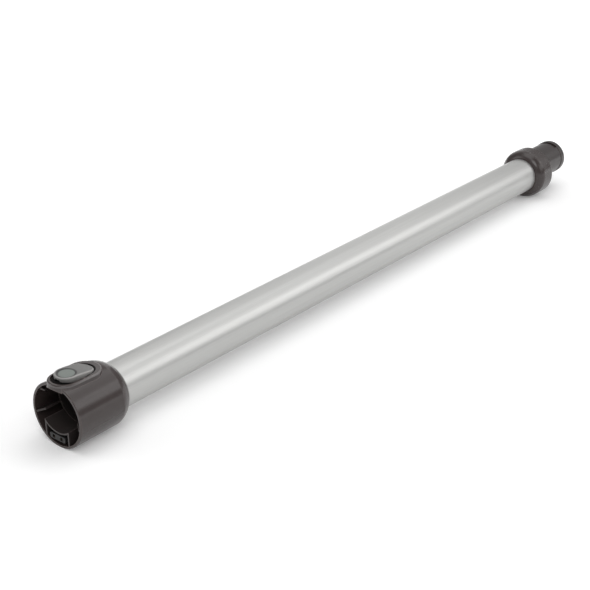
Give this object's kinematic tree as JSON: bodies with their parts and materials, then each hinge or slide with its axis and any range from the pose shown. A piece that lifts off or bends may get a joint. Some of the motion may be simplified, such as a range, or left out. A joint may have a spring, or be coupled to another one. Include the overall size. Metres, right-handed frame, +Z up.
{
  "type": "vacuum extension wand",
  "caption": "Extension wand of a stick vacuum: a metal tube with a powered socket and a release button at one end and a spigot for tools at the other.",
  "frame": {"origin": "on the mating axis of the socket, where its full-round sleeve begins, 18 mm inside the mouth", "axes": "+X along the mating axis from the socket to the spigot, +Z up towards the release button, the wand lying on the flats of its two collars"},
  "size_m": [0.7164, 0.0506, 0.0542],
  "materials": {
    "tube_aluminium": "satin anodised",
    "duct_plastic": "moulded",
    "seal_rubber": "soft matt",
    "ring_steel": "spring steel",
    "collar_plastic": "satin gloss, warm dark grey",
    "insert_plastic": "fine moulded, near black",
    "block_plastic": "fine moulded, dark grey",
    "contact_brass": "plated",
    "button_plastic": "satin, mid grey",
    "spring_steel": "drawn wire",
    "lead_insulation": "smooth sleeve",
    "spigot_plastic": "satin gloss, warm dark grey"
  },
  "bodies": {
    "wand": {"wand_tube": "tube_aluminium", "air_duct": "duct_plastic", "duct_gasket_front": "seal_rubber", "duct_gasket_rear": "seal_rubber", "lock_ring_front": "ring_steel", "lock_ring_rear": "ring_steel", "socket_collar": "collar_plastic", "socket_insert": "insert_plastic", "socket_seal": "seal_rubber", "contact_block": "block_plastic", "socket_contact_left": "contact_brass", "socket_contact_right": "contact_brass", "button_spring": "spring_steel", "power_lead_left": "lead_insulation", "power_lead_right": "lead_insulation", "spigot_collar": "collar_plastic", "tool_spigot": "spigot_plastic", "plug_block": "block_plastic", "plug_pin_left": "contact_brass", "plug_pin_right": "contact_brass"},
    "button": {"release_button": "button_plastic"}
  },
  "joints": [
    {"name": "release_press", "type": "hinge", "parent": "wand", "child": "button", "pos_m": [0.0005, 0, 0.0203], "axis": [0, -1, 0], "range_deg": [0, 7], "stiffness_Nm_per_rad": 0.16, "springref_deg": -11.46, "deforming": ["button_spring"]}
  ]
}
